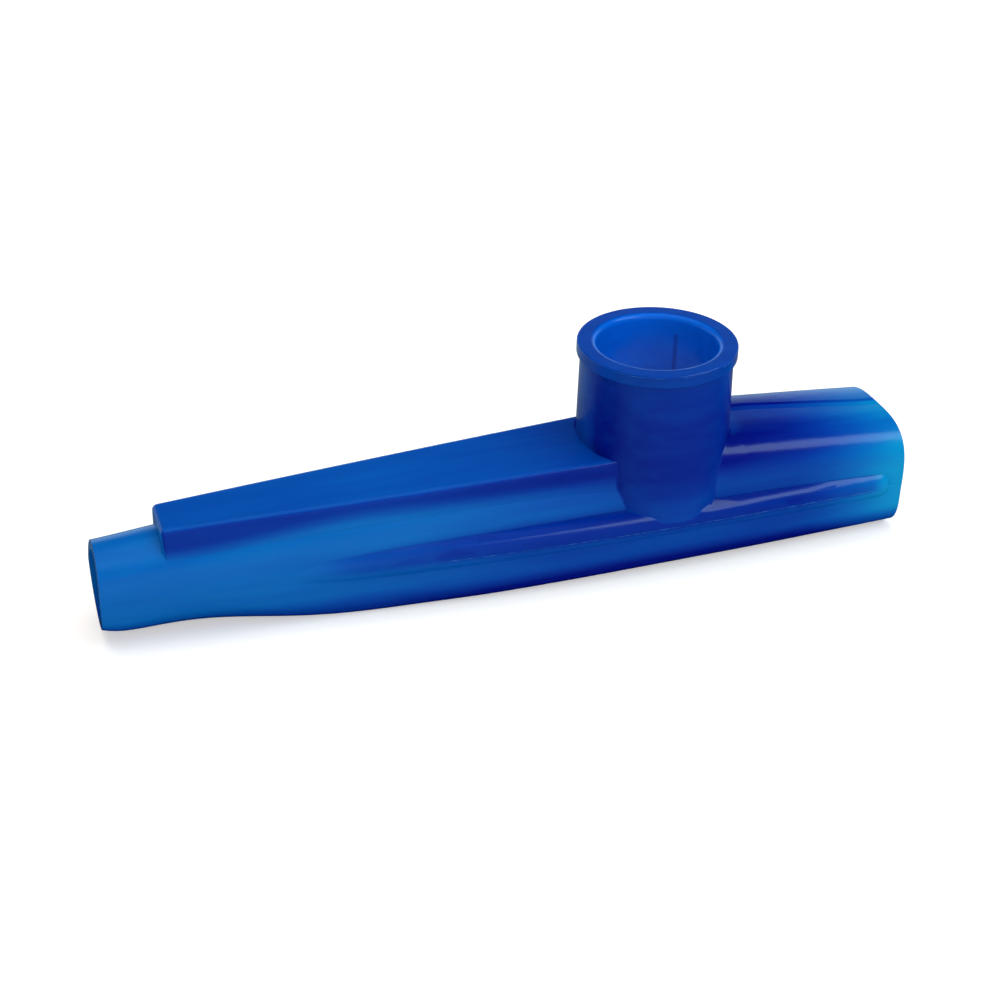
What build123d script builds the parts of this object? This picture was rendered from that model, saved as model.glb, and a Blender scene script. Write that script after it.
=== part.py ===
from build123d import *
import math
import os

# A kazoo moulded as two half shells that are welded along a level seam, with a film in its turret
# and a flanged ring cap that holds the film down. Sizes are in millimetres. While it is drawn,
# lengths run from the small end, heights from the seam, and the last step moves it to its own frame.

# Whole body
LENGTH = 120.0
WALL = 1.3
KEEL_DEPTH = 8.4

# Small round end, a tube that widens towards the body. Its axis lies a little below the seam.
OUTLET_RADIUS = 6.3
NECK_SHARE = 0.15
NECK_RADIUS = 7.65
TUBE_DROP = 0.65
OUTLET_DRAFT = 4.0

# Upper shell, left of the turret: a round back under the deck
BACK_SHARE = 0.46
BACK_HALF_WIDTH = 8.75
BACK_RISE = 8.6
BACK_FULLNESS = 2.5
SADDLE_HALF_WIDTH = 9.05
SADDLE_RISE = 9.1
SADDLE_FULLNESS = 2.7

# Upper shell, right of the turret: a squarer back that rounds off towards the mouth
NAPE_HALF_WIDTH = 9.7
NAPE_RISE = 11.4
NAPE_FULLNESS = 5.0
MOUTH_HALF_WIDTH = 10.1
MOUTH_RISE = 8.9
MOUTH_FULLNESS = 3.2

# Lower shell: the tube swells into a full belly
CHIN_SHARE = 0.283
CHIN_HALF_WIDTH = 8.3
CHIN_DEPTH = 9.4
CHIN_FULLNESS = 3.6
BELLY_SHARE = 0.475
BELLY_HALF_WIDTH = 10.3
BELLY_DEPTH = 9.0
BELLY_FULLNESS = 4.4
HIP_SHARE = 0.667
HIP_HALF_WIDTH = 11.2
HIP_DEPTH = 8.7
HIP_FULLNESS = 4.0
HAUNCH_SHARE = 0.833
HAUNCH_HALF_WIDTH = 10.95
HAUNCH_DEPTH = 8.6
HAUNCH_FULLNESS = 4.0
MOUTH_DEPTH = 8.5
MOUTH_BELLY_FULLNESS = 4.2

# Flat-topped deck that rises from a step near the small end to the turret
STEP_X = 9.2
DECK_FRONT_TOP = 8.55
DECK_BACK_TOP = 10.5
DECK_FRONT_HALF_WIDTH = 3.85
DECK_BACK_HALF_WIDTH = 7.85
DECK_BOW = 0.4
DECK_FRONT_DRAFT = 14.0
DECK_BACK_DRAFT = 3.0
DECK_EDGE_RADIUS = 0.8

# Side beads: round rods along the seam, bent to one large arc
BEAD_RADIUS = 2.5
BEAD_REACH = 11.55
BEAD_APEX_SHARE = 0.708
BEAD_TAIL_BEND = 480.0
BEAD_NOSE_BEND = 900.0
BEAD_TAIL_X = 24.0
BEAD_NOSE_SETBACK = 4.0

# Turret with its ledge for the film. Its foot stands just inside the reach of the beads.
TURRET_SHARE = 0.6875
TURRET_TOP = 22.75
TURRET_BORE_RADIUS = 9.9
TURRET_WALL = 1.15
TURRET_FLARE = 0.47
LEDGE_LIFT = 2.2
LEDGE_THICKNESS = 1.3
LEDGE_WIDTH = 2.3

# Film and cap
FILM_THICKNESS = 0.1
FILM_CLEARANCE = 0.15
CAP_GAP = 0.05
CAP_CLEARANCE = 0.05
CAP_WALL = 1.1
FLANGE_OVERHANG = 0.55
FLANGE_THICKNESS = 1.9
CAP_LIP_RADIUS = 0.9
CAP_EDGE_RADIUS = 0.25

# Tongue on the lower shell's seam and the groove for it in the upper shell
TONGUE_INSET = 0.4
TONGUE_WIDTH = 0.5
TONGUE_HEIGHT = 0.8
TONGUE_GAP = 0.05
TONGUE_END = 3.0

# How finely the body's forms are drawn
OUTLINE_POINTS = 13
SECTION_SPACING = 10.0

# Places along the body
NECK_X = NECK_SHARE * LENGTH
CHIN_X = CHIN_SHARE * LENGTH
BACK_X = BACK_SHARE * LENGTH
BELLY_X = BELLY_SHARE * LENGTH
HIP_X = HIP_SHARE * LENGTH
TURRET_X = TURRET_SHARE * LENGTH
BEAD_APEX_X = BEAD_APEX_SHARE * LENGTH
HAUNCH_X = HAUNCH_SHARE * LENGTH
BEAD_NOSE_X = LENGTH - BEAD_NOSE_SETBACK

# Heights and radii of the turret, the film and the cap
TURRET_RADIUS = TURRET_BORE_RADIUS + TURRET_WALL
SEAT_Z = DECK_BACK_TOP + LEDGE_LIFT
LEDGE_UNDER_Z = SEAT_Z - LEDGE_THICKNESS
SLEEVE_END_Z = SEAT_Z + FILM_THICKNESS + CAP_GAP
CAP_TOP = TURRET_TOP + FLANGE_THICKNESS
SLEEVE_RADIUS = TURRET_BORE_RADIUS - CAP_CLEARANCE
FLANGE_RADIUS = TURRET_RADIUS + FLANGE_OVERHANG

# Sides of the seam
ABOVE = 1
BELOW = -1


def outline(x, half_width, height, fullness, drop, side, skirt):
    """Half section across the body: an ellipse at fullness 2 and squarer above, cut along the seam."""
    seam_turn = math.copysign(math.asin((abs(drop) / height) ** (fullness / 2)), drop)
    sweep = math.pi - 2 * side * seam_turn
    points = []
    for step in range(OUTLINE_POINTS):
        turn = seam_turn + side * sweep * step / (OUTLINE_POINTS - 1)
        across = math.copysign(abs(math.cos(turn)) ** (2 / fullness), math.cos(turn))
        up = math.copysign(abs(math.sin(turn)) ** (2 / fullness), math.sin(turn))
        points.append((half_width * across, height * up - drop))
    right, left = points[0], points[-1]
    closing = Line(left, right)
    if skirt:
        closing = Polyline(left, (left[0], -side * skirt), (right[0], -side * skirt), right)
    across_body = Plane(origin=(x, 0, 0), x_dir=(0, 1, 0), z_dir=(1, 0, 0))
    return across_body * make_face([Spline(points), closing])


def glide(stations, x):
    """Sizes of the section at x, on smooth curves through the sizes at the given stations."""
    last = len(stations) - 1
    spot = max(index for index in range(last) if stations[index][0] <= x)
    rates = []
    for index in (spot, spot + 1):
        before = stations[max(index - 1, 0)]
        after = stations[min(index + 1, last)]
        rates.append([(b - a) / (after[0] - before[0]) for a, b in zip(before, after)])
    start, end = stations[spot], stations[spot + 1]
    run = end[0] - start[0]
    t = (x - start[0]) / run
    return [
        a * (1 + 2 * t) * (1 - t) ** 2 + b * (3 - 2 * t) * t**2 + run * t * (1 - t) * (p * (1 - t) - q * t)
        for a, b, p, q in zip(start, end, *rates)
    ]


def even_sections(stations):
    """Sizes of the sections at even steps along the body."""
    first, last = stations[0][0], stations[-1][0]
    count = math.ceil((last - first) / SECTION_SPACING)
    return [glide(stations, first + (last - first) * step / count) for step in range(count + 1)]


def body_form(stations, side, inset=0.0, skirt=0.0):
    """Loft along one half of the body, inset all round, with a skirt past the seam."""
    return loft([
        outline(x, half_width - inset, height - inset, fullness, drop, side, skirt)
        for x, half_width, height, fullness, drop in even_sections(stations)
    ])


# Stations of the body's forms: place, half width, height from the seam, fullness and drop
TUBE = [
    (0, OUTLET_RADIUS, OUTLET_RADIUS, 2, TUBE_DROP),
    (NECK_X, NECK_RADIUS, NECK_RADIUS, 2, TUBE_DROP),
]
LEFT_BACK = TUBE + [
    (BACK_X, BACK_HALF_WIDTH, BACK_RISE, BACK_FULLNESS, 0),
    (TURRET_X, SADDLE_HALF_WIDTH, SADDLE_RISE, SADDLE_FULLNESS, 0),
]
RIGHT_BACK = [
    (TURRET_X, NAPE_HALF_WIDTH, NAPE_RISE, NAPE_FULLNESS, 0),
    (LENGTH, MOUTH_HALF_WIDTH, MOUTH_RISE, MOUTH_FULLNESS, 0),
]
BELLY = TUBE + [
    (CHIN_X, CHIN_HALF_WIDTH, CHIN_DEPTH, CHIN_FULLNESS, 0),
    (BELLY_X, BELLY_HALF_WIDTH, BELLY_DEPTH, BELLY_FULLNESS, 0),
    (HIP_X, HIP_HALF_WIDTH, HIP_DEPTH, HIP_FULLNESS, 0),
    (HAUNCH_X, HAUNCH_HALF_WIDTH, HAUNCH_DEPTH, HAUNCH_FULLNESS, 0),
    (LENGTH, MOUTH_HALF_WIDTH, MOUTH_DEPTH, MOUTH_BELLY_FULLNESS, 0),
]
# Inside, the belly is no deeper than the keel, so that the keel keeps its wall.
BELLY_INSIDE = [(x, width, min(depth, KEEL_DEPTH), fullness, drop) for x, width, depth, fullness, drop in BELLY]


def deck_plan(z, inset):
    """Outline of the deck at one height: two bowed sides that lean in further up."""
    front_lean = math.tan(math.radians(DECK_FRONT_DRAFT))
    back_lean = math.tan(math.radians(DECK_BACK_DRAFT))
    front = STEP_X + inset
    front_half = DECK_FRONT_HALF_WIDTH + (DECK_FRONT_TOP - z) * front_lean - inset
    back_half = DECK_BACK_HALF_WIDTH + (DECK_BACK_TOP - z) * back_lean - inset
    middle = ((front + TURRET_X) / 2, (front_half + back_half) / 2 + DECK_BOW)
    side = ThreePointArc((front, front_half), middle, (TURRET_X, back_half))
    return Pos(0, 0, z) * make_face([
        side,
        mirror(side, about=Plane.XZ),
        Line((front, -front_half), (front, front_half)),
        Line((TURRET_X, -back_half), (TURRET_X, back_half)),
    ])


def deck(inset):
    """Flat-topped wedge with drafted sides, inset from its top, front and sides."""
    wedge = loft([deck_plan(0, inset), deck_plan(DECK_BACK_TOP + WALL, inset)])
    run = TURRET_X - STEP_X
    rise = DECK_BACK_TOP - DECK_FRONT_TOP
    top = Plane(origin=(STEP_X, 0, DECK_FRONT_TOP - inset), x_dir=(run, 0, rise), z_dir=(-rise, 0, run))
    return split(wedge, bisect_by=top, keep=Keep.BOTTOM)


def rounded_deck():
    """The deck with its top edges and front corners rounded."""
    wedge = deck(0)
    edges = [
        edge
        for face in (wedge.faces().sort_by(Axis.Z)[-1], wedge.faces().sort_by(Axis.X)[0])
        for edge in face.edges()
        if edge.center().Z > DECK_EDGE_RADIUS and edge.center().X < TURRET_X - DECK_EDGE_RADIUS
    ]
    return fillet(ShapeList(dict.fromkeys(edges)), radius=DECK_EDGE_RADIUS)


BEAD_Y = BEAD_REACH - BEAD_RADIUS


def bead_arc(profile, bend_radius, end_x):
    """Sweep a bead's profile along an arc from the bead's widest place to one end."""
    axis = Axis((BEAD_APEX_X, BEAD_Y - bend_radius, 0), (0, 0, 1))
    turn = math.degrees(math.asin((BEAD_APEX_X - end_x) / bend_radius))
    return revolve(profile, axis=axis, revolution_arc=turn)


def bead_rod(profile):
    """One side rod with the given profile, from its tail to its nose."""
    across_body = Plane(origin=(BEAD_APEX_X, BEAD_Y, 0), x_dir=(0, 1, 0), z_dir=(1, 0, 0))
    placed = across_body * profile
    return bead_arc(placed, BEAD_TAIL_BEND, BEAD_TAIL_X) + bead_arc(placed, BEAD_NOSE_BEND, BEAD_NOSE_X)


def both_sides(solid):
    """A form at the left side of the body and its mirror image."""
    return solid + mirror(solid, about=Plane.XZ)


def beads(radius):
    """Both side rods with their round noses."""
    run = BEAD_NOSE_X - BEAD_APEX_X
    nose_y = BEAD_Y - BEAD_NOSE_BEND + math.sqrt(BEAD_NOSE_BEND**2 - run**2)
    return both_sides(bead_rod(Circle(radius)) + Pos(BEAD_NOSE_X, nose_y, 0) * Sphere(radius))


def hull_plan(inset):
    """Outline of the hull along the seam, inset at its sides."""
    edge = [
        (x, half_width * (1 - (abs(drop) / depth) ** fullness) ** (1 / fullness) - inset)
        for x, half_width, depth, fullness, drop in even_sections(BELLY)
    ]
    side = Spline(edge)
    front, back = edge[0][1], edge[-1][1]
    return make_face([
        side,
        mirror(side, about=Plane.XZ),
        Line((0, -front), (0, front)),
        Line((LENGTH, -back), (LENGTH, back)),
    ])


def seam_strip(outer_inset, inner_inset, height):
    """Two strips that stand on the seam along the walls, between two insets from its outline."""
    rims = [
        hull_plan(inset) + section(beads(BEAD_RADIUS - inset), section_by=Plane.XY)
        for inset in (outer_inset, inner_inset)
    ]
    strip = extrude(rims[0] - rims[1], amount=height, dir=(0, 0, 1))
    span = LENGTH - 2 * TONGUE_END
    return strip & Pos(LENGTH / 2, 0, 0) * Box(span, 4 * BEAD_REACH, 4 * height)


def half(solid, keep):
    """The part of a solid on one side of the seam."""
    return split(solid, bisect_by=Plane.XY, keep=keep)


def stack(radius, bottom, top):
    """Round solid on the turret's axis between two heights."""
    upright = (Align.CENTER, Align.CENTER, Align.MIN)
    return Pos(TURRET_X, 0, bottom) * Cylinder(radius, top - bottom, align=upright)


def make_upper_shell():
    """Round back, deck, turret and the upper half of the beads, hollowed from below."""
    upright = (Align.CENTER, Align.CENTER, Align.MIN)
    turret = Cone(TURRET_RADIUS + TURRET_FLARE, TURRET_RADIUS, TURRET_TOP, align=upright)
    shell = body_form(LEFT_BACK, ABOVE) + body_form(RIGHT_BACK, ABOVE)
    shell += Pos(TURRET_X, 0, 0) * turret
    shell += rounded_deck()
    shell += half(beads(BEAD_RADIUS), Keep.TOP)
    shell -= body_form(LEFT_BACK, ABOVE, WALL, WALL) + body_form(RIGHT_BACK, ABOVE, WALL, WALL)
    shell -= deck(WALL)
    shell -= stack(TURRET_BORE_RADIUS, -WALL, LEDGE_UNDER_Z)
    shell -= stack(TURRET_BORE_RADIUS - LEDGE_WIDTH, -WALL, TURRET_TOP)
    shell -= stack(TURRET_BORE_RADIUS, SEAT_Z, TURRET_TOP)
    inner_inset = TONGUE_INSET + TONGUE_WIDTH + TONGUE_GAP
    shell -= seam_strip(TONGUE_INSET - TONGUE_GAP, inner_inset, TONGUE_HEIGHT + TONGUE_GAP)
    lean = math.tan(math.radians(OUTLET_DRAFT))
    return split(shell, bisect_by=Plane(origin=(0, 0, 0), z_dir=(1, 0, -lean)), keep=Keep.TOP)


def make_lower_shell():
    """Belly with its flat keel and the lower half of the beads, and the tongue along its seam."""
    shell = body_form(BELLY, BELOW) + half(beads(BEAD_RADIUS), Keep.BOTTOM)
    shell -= body_form(BELLY_INSIDE, BELOW, WALL, WALL)
    shell = split(shell, bisect_by=Plane.XY.offset(-KEEL_DEPTH), keep=Keep.TOP)
    return shell + seam_strip(TONGUE_INSET, TONGUE_INSET + TONGUE_WIDTH, TONGUE_HEIGHT)


def make_membrane():
    """Round film that lies on the turret's ledge."""
    return stack(TURRET_BORE_RADIUS - FILM_CLEARANCE, SEAT_Z, SEAT_Z + FILM_THICKNESS)


def make_turret_cap():
    """Flanged ring whose long sleeve reaches down the turret to the film."""
    cap = stack(SLEEVE_RADIUS, SLEEVE_END_Z, CAP_TOP) + stack(FLANGE_RADIUS, TURRET_TOP, CAP_TOP)
    cap -= stack(SLEEVE_RADIUS - CAP_WALL, SLEEVE_END_Z, CAP_TOP)
    rims = cap.edges().filter_by(GeomType.CIRCLE)
    lip = [rim for rim in rims if rim.center().Z > TURRET_TOP and rim.radius < SLEEVE_RADIUS]
    cap = fillet(ShapeList(lip), radius=CAP_LIP_RADIUS)
    rims = cap.edges().filter_by(GeomType.CIRCLE)
    corners = [rim for rim in rims if rim.radius > (SLEEVE_RADIUS + FLANGE_RADIUS) / 2]
    return fillet(ShapeList(corners), radius=CAP_EDGE_RADIUS)


PIECES = {
    "upper_shell": make_upper_shell,
    "lower_shell": make_lower_shell,
    "membrane": make_membrane,
    "turret_cap": make_turret_cap,
}

# The finished frame has its origin under the middle of the body, on the surface that it rests on.
TO_FRAME = Pos(-LENGTH / 2, 0, KEEL_DEPTH)

os.makedirs("parts", exist_ok=True)
for name, make in PIECES.items():
    export_step(TO_FRAME * make(), f"parts/{name}.step")
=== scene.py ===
import math

import bmesh
import bpy
from mathutils import Matrix, Vector, noise


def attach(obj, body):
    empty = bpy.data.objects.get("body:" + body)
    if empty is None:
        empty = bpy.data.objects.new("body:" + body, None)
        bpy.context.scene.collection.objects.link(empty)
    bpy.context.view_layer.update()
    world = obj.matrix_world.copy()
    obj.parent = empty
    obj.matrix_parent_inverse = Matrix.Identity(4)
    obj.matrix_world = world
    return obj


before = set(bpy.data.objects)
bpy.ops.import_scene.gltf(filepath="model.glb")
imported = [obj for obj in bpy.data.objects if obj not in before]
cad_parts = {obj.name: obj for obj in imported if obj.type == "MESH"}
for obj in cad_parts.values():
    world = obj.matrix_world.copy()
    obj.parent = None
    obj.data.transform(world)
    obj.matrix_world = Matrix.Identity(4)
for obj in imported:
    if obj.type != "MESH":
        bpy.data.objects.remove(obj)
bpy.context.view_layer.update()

# The frame is in metres, and sizes here are written in millimetres.
MM = 0.001

# Camera: where it stands, what it looks at, its roll in degrees, and its lens
CAMERA_SPOT = Vector((-72.6, -207.3, 142.5)) * MM
CAMERA_AIM = Vector((-1.1, 0.0, 10.65)) * MM
CAMERA_ROLL = 0.69
LENS = 63.0
SENSOR = 36.0

# Softbox to the right of the camera, which gives the highlights on the shoulder and on the beads.
# Its turn and rise are in degrees. Its cool white keeps the highlights from turning pink.
SOFTBOX_TURN = 130.0
SOFTBOX_RISE = 46.0
SOFTBOX_RANGE = 600.0 * MM
SOFTBOX_SIZE = (420.0 * MM, 220.0 * MM)
SOFTBOX_POWER = 1.1
SOFTBOX_COLOUR = "#CCEEFF"

# Large overhead and front lamps, set not to show in the gloss
OVERHEAD_SPOT = Vector((-30.0, 60.0, 500.0)) * MM
OVERHEAD_SIZE = (500.0 * MM, 500.0 * MM)
OVERHEAD_POWER = 1.35
FRONT_SPOT = Vector((-100.0, -700.0, 250.0)) * MM
FRONT_SIZE = (900.0 * MM, 600.0 * MM)
FRONT_POWER = 1.5
PLAIN_WHITE = "#FFFFFF"

# Paper, a little warm under the cool softbox. To the camera it glows, and more so far from the lamps.
FLOOR_SIZE = 6000.0 * MM
PAPER_COLOUR = "#FBF4EB"
PAPER_GLOW = (0.45, 0.7)
PAPER_GLOW_RANGE = (200.0 * MM, 700.0 * MM)
# Even light from all around
AMBIENT = 0.35

# Paper and backdrop in the gloss, a cool white. The paper fades in over this distance behind the kazoo.
# The backdrop fades out between these degrees above the horizon, and to the sides: it is full where at
# least this share of a direction points back.
GLOSS_WHITE = "#C4ECFF"
PAPER_FADE = 160.0 * MM
BACKDROP_FADE = (12.0, 26.0)
BACKDROP_BACK = 0.3

# The part's own places that the finish follows, in millimetres
SEAM_Z = 8.4
BEAD_RADIUS = 2.5
BEAD_APEX_X = 25.0
BEAD_Y = 9.05
BEAD_TAIL_BEND = 480.0
BEAD_NOSE_BEND = 900.0
BEAD_BEND_BLEND = 0.1
DECK_STEP_X = -50.8
DECK_STEP_Z = 16.95
DECK_SLOPE = 0.0266
TURRET_X = 22.5
TURRET_RADIUS = 11.5
TURRET_BLEND = 0.2
BORE_RADIUS = 8.75
FLANGE_RADIUS = 11.6
FLANGE_TOP = 33.05

# Crease along the mouth's top: where it runs, and how far the top falls to its front
CREASE_X = (39.0, 57.0)
CREASE_Y = (3.2, 1.2)
CREASE_WIDTH = 2.2
CREASE_DROP = 0.33
CREASE_RELIEF_X = (TURRET_X, TURRET_X + 1.0, 1.0)

# Depth of the shell's blue: 0 for one thin wall, 1 for several, and it also carries painted light and shade.
# Smooth steps change it over the body.
# A step is the place where it starts, the place where it ends and, if it is even, its weight.
BODY_DEPTH = 0.3
# Deeper towards the turret: thicker plastic there, and painted shade near the turret
TO_TURRET_X = (-40.0, 15.0, 0.32)
# Lighter towards the mouth: painted light coming through the open end
MOUTH_PAINTED_LIGHT_X = (41.0, 61.0, -0.66)
# Darker towards the keel: painted shade
KEEL_Z = (5.2, 0.8)
KEEL_SHADE_WEIGHT = 0.42
KEEL_X = (-20.0, 10.0, 0.2)
# Deeper on the bead: the solid bead's thicker plastic, and painted shade on its front
BEAD_EDGE = (BEAD_RADIUS + 0.4, BEAD_RADIUS - 0.3)
BEAD_UPPER_Z = (SEAM_Z - 0.8, SEAM_Z + 0.4)
BEAD_TAIL_X = (-33.0, -22.0, 0.35)
BEAD_NOSE_X = (54.0, 56.5, -0.35)
# Lighter band along the wall under the deck, ending at the turret: painted light
WALL_Z = (10.6, 12.2)
WALL_LEFT_X = (-35.0, -15.0, -0.15)
WALL_RIGHT_X = (22.0, 32.0, 0.17)
# Painted shade under the deck's edge, kept off the deck's top
DECK_TOP = (-0.4, -0.1, -0.26)
DECK_SHADE = (-1.3, 1.3)
DECK_SHADE_WEIGHT = 0.45
DECK_SHADE_LEFT_X = (-15.0, 15.0, -0.12)
DECK_SHADE_RIGHT_X = (24.0, 36.0, -0.1)
# Painted shade of the turret on the body beside it
NEAR_TURRET = (26.0, TURRET_RADIUS)
NEAR_TURRET_Z = (12.5, 15.0, 0.09)
# At the crease a painted dark line, and in front of it a band of painted light
CREASE_LINE = (-0.1, 0.1)
CREASE_FRONT = (0.5, 1.2)
CREASE_FRONT_END = (4.0, 7.5)
CREASE_SHADE_X = (25.0, 26.0, 0.15)
PAINTED_CREASE_LIGHT_X = (25.0, 26.0, -0.3)

# Height of the shade under the deck's edge. It reaches lower to the left, and stops at the deck's step.
DECK_SHADE_Z = 15.6
DECK_SHADE_LOWER_X = (-22.0, -50.0, -2.2)
DECK_SHADE_STOP_X = (DECK_STEP_X + 0.3, DECK_STEP_X, 6.0)

# Depth of the turret's blue above the seam: deep for its double wall, lighter at its foot and towards its
# top, with painted shade towards its sides and painted light at their very edges
TURRET_DEPTH = 0.66
TURRET_FOOT_Z = (10.0, 17.0, 0.18)
TURRET_TOP_Z = (22.0, 33.0, -0.12)
TURRET_SIDE_SHADE = (7.0, 10.0, 0.12)
TURRET_EDGE_LIGHT = (10.4, 11.2, -0.3)
TURRET_ABOVE_Z = (SEAM_Z + 0.8, SEAM_Z, TURRET_RADIUS)

# Depth of the cap's blue, lighter inside its sleeve as painted light, and the knit line inside its sleeve,
# whose turn is in degrees
CAP_DEPTH = 0.1
CAP_FLANGE = (BORE_RADIUS + 0.3, BORE_RADIUS + 0.9, 0.5)
KNIT_TURN = 47.6
KNIT_EDGE = (0.45, 0.15)
KNIT_Z = (30.6, 29.6, 0.3)

# Blues of the plastic, from one thin wall with light behind it to several walls. The pale end also serves as
# painted light, the deep end as painted shade.
SHELL_BLUES = ("#009CD8", "#0074C8", "#0056B7", "#0039A4", "#001488")
# The same for the cap, which is lightest inside its sleeve, as painted light
CAP_BLUES = ("#0076F4", "#0060D2", "#004CB6", "#00389C", "#002088")

# Gloss of the plastic, flow streaks about 2 mm across and 20 mm long, and faint waves about 3 mm long
PLASTIC_ROUGHNESS = 0.2
PLASTIC_IOR = 1.49
PLASTIC_GLOSS = 0.36
STREAK_SCALE = (0.05, 0.5, 0.5)
STREAK_DETAIL = 3.0
STREAK_STEP = (0.3, 0.7, 0.07)
WAVE_SCALE = 0.33
WAVE_DETAIL = 2.0
WAVE_STRENGTH = 0.1
WAVE_HEIGHT = 0.2 * MM

# Flash: thin torn edges where the mould's halves met. Turns are in degrees, other sizes in millimetres.
SEAM_FLASH_X = (-16.0, 56.0)
SEAM_FLASH_PROUD = 0.14
RIM_FLASH_TURN = (-150.0, -20.0)
RIM_FLASH_PROUD = 0.16
RIM_FLASH_BELOW_TOP = 0.3
RIM_FLASH_SUNK = 0.05
FLASH_HALF_HEIGHT = 0.09
FLASH_ROOT = 0.3
FLASH_STEP = 0.5
FLASH_TAPER_STEPS = 8
# The mean share of a fin's reach, the scales of its coarse and fine rags, and the weight of the fine ones
FLASH_MEAN = 0.55
FLASH_COARSE = 0.6
FLASH_FINE = 2.3
FLASH_FINE_WEIGHT = 0.6
# The torn plastic is whitened by the strain, in patches.
TORN_BLUES = ((0.4, "#08489F"), (0.65, "#2E74C0"))
TORN_PATCH = 1.5 * MM
TORN_ROUGHNESS = 0.45

# Waxed paper of the film
FILM_COLOUR = "#D8D4C4"
FILM_ROUGHNESS = 0.6


def linear(colour):
    """Scene-linear RGBA of an sRGB hex colour."""
    channels = [int(colour[place:place + 2], 16) / 255 for place in (1, 3, 5)]
    return [c / 12.92 if c <= 0.04045 else ((c + 0.055) / 1.055) ** 2.4 for c in channels] + [1.0]


def add_node(tree, kind, inputs=None, **settings):
    """New node with its settings, and its inputs set to values or linked to sockets."""
    new = tree.nodes.new(kind)
    for name, value in settings.items():
        setattr(new, name, value)
    for name, value in (inputs or {}).items():
        if isinstance(value, bpy.types.NodeSocket):
            tree.links.new(value, new.inputs[name])
        else:
            new.inputs[name].default_value = value
    return new


def new_material(name):
    """Empty node material."""
    material = bpy.data.materials.new(name)
    material.use_nodes = True
    material.node_tree.nodes.clear()
    return material


def add_marks(tree, depth, marks):
    """Add smooth steps to a depth. A mark is a value, the step's start and end, and its weight."""
    for value, start, end, weight in marks:
        step = add_node(
            tree,
            "ShaderNodeMapRange",
            {"Value": value, "From Min": start, "From Max": end, "To Max": weight},
            interpolation_type="SMOOTHSTEP",
        )
        depth = add_node(tree, "ShaderNodeMath", {0: step.outputs[0], 1: depth}).outputs[0]
    return depth


def distance(tree, spot, target, keep=(1, 1, 0)):
    """Distance of a spot from a target, along the axes that are kept."""
    flat = add_node(tree, "ShaderNodeVectorMath", {0: spot, 1: keep}, operation="MULTIPLY")
    return add_node(
        tree, "ShaderNodeVectorMath", {0: flat.outputs[0], 1: target}, operation="DISTANCE"
    ).outputs["Value"]


def moulded_polypropylene(name, blues, depth_and_painted_light_of, relief_of=None):
    """Tinted polypropylene with a clean gloss: the more of it light has to cross, the deeper its blue. The
    depth also carries painted light and shade.
    """
    material = new_material(name)
    tree = material.node_tree
    place = add_node(tree, "ShaderNodeTexCoord")
    scaled = add_node(
        tree, "ShaderNodeVectorMath", {0: place.outputs["Object"], "Scale": 1 / MM}, operation="SCALE"
    )
    spot = scaled.outputs[0]
    along = add_node(tree, "ShaderNodeVectorMath", {0: spot, 1: STREAK_SCALE}, operation="MULTIPLY")
    streaks = add_node(tree, "ShaderNodeTexNoise", {
        "Vector": along.outputs[0], "Scale": 1.0, "Detail": STREAK_DETAIL,
    })
    depth = add_marks(tree, depth_and_painted_light_of(tree, spot), [(streaks.outputs["Fac"], *STREAK_STEP)])
    ramp = add_node(tree, "ShaderNodeValToRGB", {"Fac": depth})
    stops = ramp.color_ramp.elements
    for number, blue in enumerate(blues):
        stop = stops[number] if number < 2 else stops.new(1.0)
        stop.position = number / (len(blues) - 1)
        stop.color = linear(blue)
    skin = add_node(tree, "ShaderNodeTexNoise", {
        "Vector": spot, "Scale": WAVE_SCALE, "Detail": WAVE_DETAIL,
    })
    waves = add_node(tree, "ShaderNodeBump", {
        "Height": skin.outputs["Fac"], "Strength": WAVE_STRENGTH, "Distance": WAVE_HEIGHT,
    })
    if relief_of:
        height, share = relief_of(tree, spot)
        relief = add_node(tree, "ShaderNodeBump", {"Height": height, "Strength": share, "Distance": MM})
        tree.links.new(relief.outputs["Normal"], waves.inputs["Normal"])
    plastic = add_node(tree, "ShaderNodeBsdfPrincipled", {
        "Base Color": ramp.outputs["Color"],
        "Normal": waves.outputs["Normal"],
        "Roughness": PLASTIC_ROUGHNESS,
        "IOR": PLASTIC_IOR,
        "Specular IOR Level": PLASTIC_GLOSS,
    })
    add_node(tree, "ShaderNodeOutputMaterial", {"Surface": plastic.outputs[0]})
    return material


def bead_distance(tree, x, y, z):
    """Distance from the middle line of the nearer bead, which curves in towards both of its ends."""
    past = add_node(tree, "ShaderNodeMath", {0: x, 1: BEAD_APEX_X}, operation="SUBTRACT").outputs[0]
    square = add_node(tree, "ShaderNodeMath", {0: past, 1: past}, operation="MULTIPLY")
    bend = add_marks(tree, 2 * BEAD_TAIL_BEND, [
        (past, -BEAD_BEND_BLEND, BEAD_BEND_BLEND, 2 * (BEAD_NOSE_BEND - BEAD_TAIL_BEND)),
    ])
    inward = add_node(tree, "ShaderNodeMath", {0: square.outputs[0], 1: bend}, operation="DIVIDE")
    aside = add_node(tree, "ShaderNodeMath", {0: y}, operation="ABSOLUTE")
    across = add_node(tree, "ShaderNodeMath", {0: aside.outputs[0], 1: inward.outputs[0]})
    section = add_node(tree, "ShaderNodeCombineXYZ", {0: across.outputs[0], 1: z})
    return distance(tree, section.outputs[0], (BEAD_Y, SEAM_Z, 0))


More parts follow.
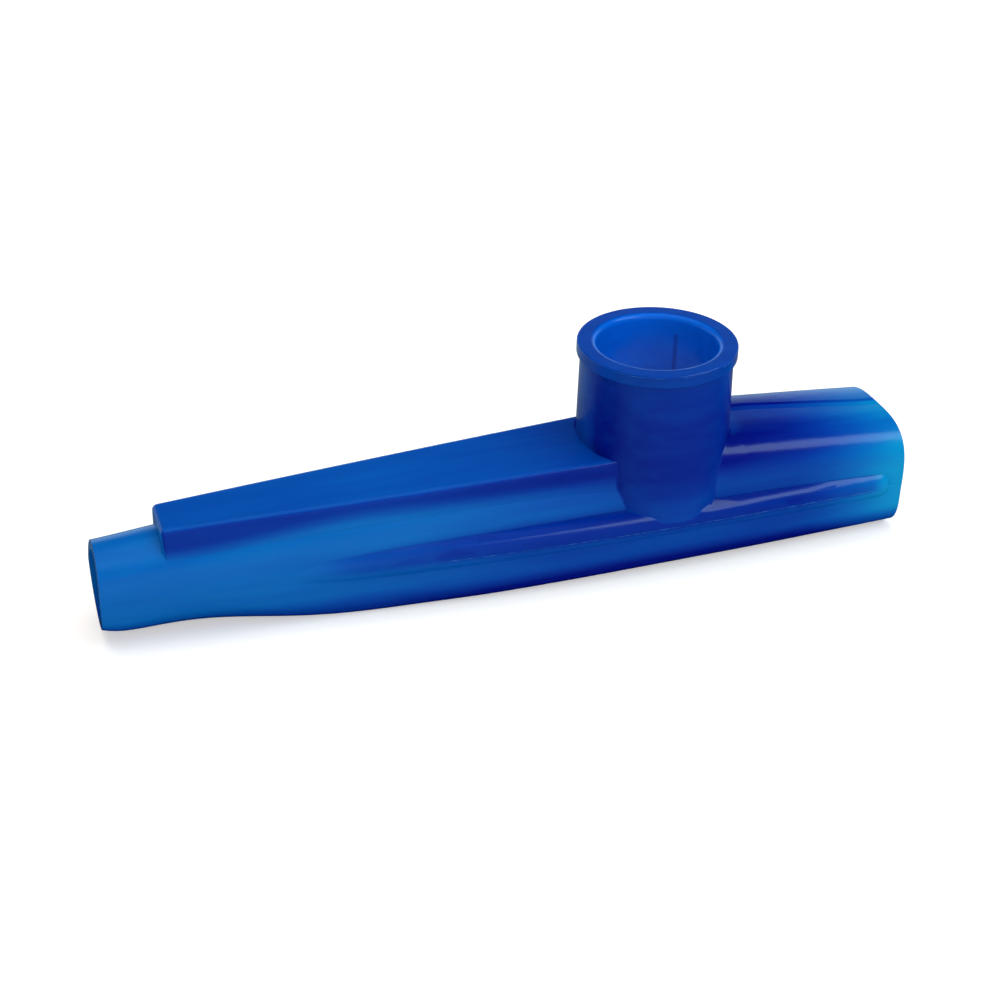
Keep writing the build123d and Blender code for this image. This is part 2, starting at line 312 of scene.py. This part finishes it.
def crease_side(tree, x, y):
    """How far a spot is to the front of the crease, which runs in towards the mouth."""
    crease = add_node(tree, "ShaderNodeMapRange", {
        "Value": x,
        "From Min": CREASE_X[0],
        "From Max": CREASE_X[1],
        "To Min": CREASE_Y[0],
        "To Max": CREASE_Y[1],
    })
    return add_node(tree, "ShaderNodeMath", {0: crease.outputs[0], 1: y}, operation="SUBTRACT").outputs[0]


def shell_relief(tree, spot):
    """Height of the mouth's top, which falls to the front of its crease, and where the height counts."""
    axes = add_node(tree, "ShaderNodeSeparateXYZ", {0: spot})
    x = axes.outputs["X"]
    height = add_node(tree, "ShaderNodeMapRange", {
        "Value": crease_side(tree, x, axes.outputs["Y"]), "From Max": CREASE_WIDTH, "To Max": -CREASE_DROP,
    })
    right_of_axis = add_marks(tree, 0.0, [(x, *CREASE_RELIEF_X)])
    from_turret = distance(tree, spot, (TURRET_X, 0, 0))
    outside = add_marks(tree, 0.0, [
        (from_turret, TURRET_RADIUS, TURRET_RADIUS + TURRET_BLEND, right_of_axis),
    ])
    return height.outputs[0], outside


def shell_depth_and_shade(tree, spot):
    """Depth of plastic over the shell: least at open ends and thin walls, most at keel, beads and turret.
    Much of it is painted light and shade: light at the mouth and on the wall, shade at the keel, on the bead,
    under the deck's edge, beside the turret and at the crease.
    """
    x, y, z = add_node(tree, "ShaderNodeSeparateXYZ", {0: spot}).outputs
    from_turret = distance(tree, spot, (TURRET_X, 0, 0))
    beside_turret = distance(tree, spot, (TURRET_X, 0, 0), (1, 0, 0))
    past_crease = crease_side(tree, x, y)
    deck_top = add_node(
        tree,
        "ShaderNodeMath",
        {0: x, 1: DECK_SLOPE, 2: DECK_STEP_Z - DECK_SLOPE * DECK_STEP_X},
        operation="MULTIPLY_ADD",
    )
    over_deck = add_node(tree, "ShaderNodeMath", {0: z, 1: deck_top.outputs[0]}, operation="SUBTRACT")
    shade_z = add_marks(tree, DECK_SHADE_Z, [(x, *DECK_SHADE_LOWER_X), (x, *DECK_SHADE_STOP_X)])
    over_shade = add_node(tree, "ShaderNodeMath", {0: z, 1: shade_z}, operation="SUBTRACT")
    # Weights that grow or fade over the body
    keel = add_marks(tree, KEEL_SHADE_WEIGHT, [(x, *KEEL_X)])
    bead = add_marks(tree, 0.0, [(x, *BEAD_TAIL_X), (x, *BEAD_NOSE_X)])
    upper_bead = add_marks(tree, 0.0, [(z, *BEAD_UPPER_Z, bead)])
    wall = add_marks(tree, 0.0, [(x, *WALL_LEFT_X), (x, *WALL_RIGHT_X)])
    deck_shade = add_marks(tree, DECK_SHADE_WEIGHT, [(x, *DECK_SHADE_LEFT_X), (x, *DECK_SHADE_RIGHT_X)])
    painted_turret_shade = add_marks(tree, 0.0, [(z, *NEAR_TURRET_Z)])
    crease_shade = add_marks(tree, 0.0, [(x, *CREASE_SHADE_X)])
    painted_crease_light = add_marks(tree, 0.0, [(x, *PAINTED_CREASE_LIGHT_X)])
    # Painted light at the mouth and on the wall; painted shade at the keel, on the bead, under the deck's
    # edge, beside the turret and at the crease
    body = add_marks(tree, BODY_DEPTH, [
        (x, *TO_TURRET_X),
        (x, *MOUTH_PAINTED_LIGHT_X),
        (z, *KEEL_Z, keel),
        (bead_distance(tree, x, y, z), *BEAD_EDGE, upper_bead),
        (z, *WALL_Z, wall),
        (over_shade.outputs[0], *DECK_SHADE, deck_shade),
        (over_deck.outputs[0], *DECK_TOP),
        (from_turret, *NEAR_TURRET, painted_turret_shade),
        (past_crease, *CREASE_LINE, crease_shade),
        (past_crease, *CREASE_FRONT, painted_crease_light),
        (past_crease, *CREASE_FRONT_END, crease_shade),
    ])
    # The turret: painted shade towards its sides, and painted light at their very edges
    turret = add_marks(tree, TURRET_DEPTH, [
        (z, *TURRET_FOOT_Z),
        (z, *TURRET_TOP_Z),
        (beside_turret, *TURRET_SIDE_SHADE),
        (beside_turret, *TURRET_EDGE_LIGHT),
    ])
    # Below the seam, the hull counts as outside the turret.
    from_foot = add_marks(tree, from_turret, [(z, *TURRET_ABOVE_Z)])
    return add_node(tree, "ShaderNodeMapRange", {
        "Value": from_foot,
        "From Min": TURRET_RADIUS + TURRET_BLEND,
        "From Max": TURRET_RADIUS,
        "To Min": body,
        "To Max": turret,
    }).outputs[0]


def cap_depth_and_light(tree, spot):
    """Depth of plastic over the cap: less inside its sleeve, where that is painted light, more on the line
    where the melt's flows met.
    """
    turn = math.radians(KNIT_TURN)
    knit_line = (TURRET_X + BORE_RADIUS * math.cos(turn), BORE_RADIUS * math.sin(turn), 0)
    z = add_node(tree, "ShaderNodeSeparateXYZ", {0: spot}).outputs["Z"]
    knit = add_marks(tree, 0.0, [(z, *KNIT_Z)])
    return add_marks(tree, CAP_DEPTH, [
        (distance(tree, spot, (TURRET_X, 0, 0)), *CAP_FLANGE),
        (distance(tree, spot, knit_line), *KNIT_EDGE, knit),
    ])


def torn_polypropylene():
    """Polypropylene torn along a mould line: whitened in patches, and rough."""
    material = new_material("torn polypropylene")
    tree = material.node_tree
    place = add_node(tree, "ShaderNodeTexCoord")
    patches = add_node(tree, "ShaderNodeTexNoise", {
        "Vector": place.outputs["Object"], "Scale": 1 / TORN_PATCH,
    })
    ramp = add_node(tree, "ShaderNodeValToRGB", {"Fac": patches.outputs["Fac"]})
    for stop, (position, blue) in zip(ramp.color_ramp.elements, TORN_BLUES):
        stop.position = position
        stop.color = linear(blue)
    torn = add_node(tree, "ShaderNodeBsdfPrincipled", {
        "Base Color": ramp.outputs["Color"],
        "Roughness": TORN_ROUGHNESS,
        "IOR": PLASTIC_IOR,
    })
    add_node(tree, "ShaderNodeOutputMaterial", {"Surface": torn.outputs[0]})
    return material


def seam_edge(side):
    """Points along a bead's outer edge at the seam, each with its outward direction."""
    start, end = SEAM_FLASH_X
    for number in range(round((end - start) / FLASH_STEP) + 1):
        x = start + number * FLASH_STEP
        bend = BEAD_TAIL_BEND if x < BEAD_APEX_X else BEAD_NOSE_BEND
        y = BEAD_Y + BEAD_RADIUS - (x - BEAD_APEX_X) ** 2 / (2 * bend)
        yield Vector((x, side * y, SEAM_Z)), Vector((0, side, 0))


def rim_edge():
    """Points along the front of the flange's outer face, near its top, each with its outward direction."""
    start, end = RIM_FLASH_TURN
    count = round(math.radians(end - start) * FLANGE_RADIUS / FLASH_STEP)
    middle = Vector((TURRET_X, 0, FLANGE_TOP - RIM_FLASH_BELOW_TOP))
    for number in range(count + 1):
        turn = math.radians(start + (end - start) * number / count)
        out = Vector((math.cos(turn), math.sin(turn), 0))
        yield middle + out * (FLANGE_RADIUS - RIM_FLASH_SUNK), out


def add_flash(name, edge, proud, body):
    """Thin ragged fin along an edge, which tapers out to nothing and breaks off in places."""
    points = list(edge)
    up = Vector((0, 0, FLASH_HALF_HEIGHT))
    mesh = bmesh.new()
    rows = []
    for number, (spot, out) in enumerate(points):
        ragged = noise.noise(spot * FLASH_COARSE) + FLASH_FINE_WEIGHT * noise.noise(spot * FLASH_FINE)
        steps_to_end = min(number, len(points) - 1 - number)
        taper = min(1.0, steps_to_end / FLASH_TAPER_STEPS)
        reach = proud * taper * max(0.0, FLASH_MEAN + ragged)
        root = spot - out * FLASH_ROOT
        corners = (root + up, spot + out * reach, root - up)
        rows.append([mesh.verts.new(corner * MM) for corner in corners])
    for row, following in zip(rows, rows[1:]):
        for first, second in ((0, 1), (1, 2), (2, 0)):
            mesh.faces.new((row[first], row[second], following[second], following[first]))
    mesh.faces.new(rows[0])
    mesh.faces.new(reversed(rows[-1]))
    bmesh.ops.recalc_face_normals(mesh, faces=mesh.faces)
    data = bpy.data.meshes.new(name)
    mesh.to_mesh(data)
    mesh.free()
    fin = add_object(name, data, Matrix.Identity(4))
    data.materials.append(TORN)
    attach(fin, body)


def waxed_paper():
    """Waxed paper film: pale and matte."""
    material = new_material("waxed paper")
    film = add_node(material.node_tree, "ShaderNodeBsdfPrincipled", {
        "Base Color": linear(FILM_COLOUR),
        "Roughness": FILM_ROUGHNESS,
    })
    add_node(material.node_tree, "ShaderNodeOutputMaterial", {"Surface": film.outputs[0]})
    return material


def white_paper():
    """Paper that the camera sees as white where no shadow falls. Only its far half shows in the gloss."""
    material = new_material("white paper")
    tree = material.node_tree
    rays = add_node(tree, "ShaderNodeLightPath")
    place = add_node(tree, "ShaderNodeTexCoord")
    paper = add_node(tree, "ShaderNodeBsdfDiffuse", {"Color": linear(PAPER_COLOUR)})
    reach = add_node(tree, "ShaderNodeMapRange", {
        "Value": distance(tree, place.outputs["Object"], (0, 0, 0)),
        "From Min": PAPER_GLOW_RANGE[0],
        "From Max": PAPER_GLOW_RANGE[1],
        "To Min": PAPER_GLOW[0],
        "To Max": PAPER_GLOW[1],
    })
    glow = add_node(tree, "ShaderNodeEmission", {"Strength": reach.outputs[0]})
    lit = add_node(tree, "ShaderNodeAddShader", {0: paper.outputs[0], 1: glow.outputs[0]})
    seen = add_node(tree, "ShaderNodeMixShader", {
        0: rays.outputs["Is Camera Ray"], 1: paper.outputs[0], 2: lit.outputs[0],
    })
    axes = add_node(tree, "ShaderNodeSeparateXYZ", {0: place.outputs["Object"]})
    far = add_node(tree, "ShaderNodeMapRange", {
        "Value": axes.outputs["Y"], "From Min": 0.0, "From Max": PAPER_FADE,
    })
    mirrored = add_node(tree, "ShaderNodeEmission", {
        "Color": linear(GLOSS_WHITE), "Strength": far.outputs[0],
    })
    mixed = add_node(tree, "ShaderNodeMixShader", {
        0: rays.outputs["Is Glossy Ray"], 1: seen.outputs[0], 2: mirrored.outputs[0],
    })
    add_node(tree, "ShaderNodeOutputMaterial", {"Surface": mixed.outputs[0]})
    return material


def set_studio(world):
    """Light grey to the camera, an even dim light all around, and in the gloss a low backdrop at the back."""
    world.use_nodes = True
    tree = world.node_tree
    tree.nodes.clear()
    rays = add_node(tree, "ShaderNodeLightPath")
    seen = add_node(tree, "ShaderNodeMapRange", {
        "Value": rays.outputs["Is Camera Ray"], "To Min": AMBIENT, "To Max": 1.0,
    })
    plain = add_node(tree, "ShaderNodeBackground", {"Strength": seen.outputs[0]})
    place = add_node(tree, "ShaderNodeTexCoord")
    axes = add_node(tree, "ShaderNodeSeparateXYZ", {0: place.outputs["Generated"]})
    full, none = (math.sin(math.radians(rise)) for rise in BACKDROP_FADE)
    low = add_node(tree, "ShaderNodeMapRange", {
        "Value": axes.outputs["Z"], "From Min": none, "From Max": full,
    })
    behind = add_node(tree, "ShaderNodeMapRange", {
        "Value": axes.outputs["Y"], "From Min": 0.0, "From Max": BACKDROP_BACK,
    })
    mirrored = add_node(
        tree, "ShaderNodeMath", {0: low.outputs[0], 1: behind.outputs[0]}, operation="MULTIPLY"
    )
    backdrop = add_node(tree, "ShaderNodeBackground", {
        "Color": linear(GLOSS_WHITE), "Strength": mirrored.outputs[0],
    })
    mixed = add_node(tree, "ShaderNodeMixShader", {
        0: rays.outputs["Is Glossy Ray"], 1: plain.outputs[0], 2: backdrop.outputs[0],
    })
    add_node(tree, "ShaderNodeOutputWorld", {"Surface": mixed.outputs[0]})


def aim(spot, target, roll=0.0):
    """Matrix of a lamp or camera at spot that looks at target."""
    turn = (target - spot).to_track_quat("-Z", "Y").to_matrix().to_4x4()
    return Matrix.Translation(spot) @ turn @ Matrix.Rotation(math.radians(roll), 4, "Z")


def add_object(name, data, matrix):
    """New object in the scene."""
    added = bpy.data.objects.new(name, data)
    added.matrix_world = matrix
    bpy.context.collection.objects.link(added)
    return added


def add_area_lamp(name, spot, size, power, colour=PLAIN_WHITE):
    """Area lamp that looks at the kazoo."""
    lamp = bpy.data.lights.new(name, "AREA")
    lamp.color = linear(colour)[:3]
    lamp.shape = "RECTANGLE"
    lamp.size, lamp.size_y = size
    lamp.energy = power
    return add_object(name, lamp, aim(spot, CAMERA_AIM))


SHELL = moulded_polypropylene("moulded polypropylene", SHELL_BLUES, shell_depth_and_shade, shell_relief)
CAP = moulded_polypropylene("moulded polypropylene, cap", CAP_BLUES, cap_depth_and_light)
FINISHES = {"upper_shell": SHELL, "lower_shell": SHELL, "turret_cap": CAP, "membrane": waxed_paper()}
for name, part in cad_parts.items():
    part.data.materials.clear()
    part.data.materials.append(FINISHES[name])

TORN = torn_polypropylene()
for side, name in ((-1, "seam_flash_front"), (1, "seam_flash_back")):
    add_flash(name, seam_edge(side), SEAM_FLASH_PROUD, "shell")
add_flash("rim_flash", rim_edge(), RIM_FLASH_PROUD, "cap")

bpy.ops.mesh.primitive_plane_add(size=FLOOR_SIZE)
floor = bpy.context.object
floor.name = "floor"
floor.data.materials.append(white_paper())

studio = bpy.data.worlds.new("studio")
bpy.context.scene.world = studio
set_studio(studio)

turn = math.radians(SOFTBOX_TURN)
rise = math.radians(SOFTBOX_RISE)
towards = Vector((math.sin(turn) * math.cos(rise), math.cos(turn) * math.cos(rise), math.sin(rise)))
softbox_spot = CAMERA_AIM + towards * SOFTBOX_RANGE
add_area_lamp("softbox", softbox_spot, SOFTBOX_SIZE, SOFTBOX_POWER, SOFTBOX_COLOUR)
for lamp in (
    add_area_lamp("overhead", OVERHEAD_SPOT, OVERHEAD_SIZE, OVERHEAD_POWER),
    add_area_lamp("front", FRONT_SPOT, FRONT_SIZE, FRONT_POWER),
):
    lamp.visible_glossy = False

lens = bpy.data.cameras.new("camera")
lens.lens = LENS
lens.sensor_width = SENSOR
bpy.context.scene.camera = add_object("camera", lens, aim(CAMERA_SPOT, CAMERA_AIM, CAMERA_ROLL))
bpy.context.scene.view_settings.view_transform = "Standard"
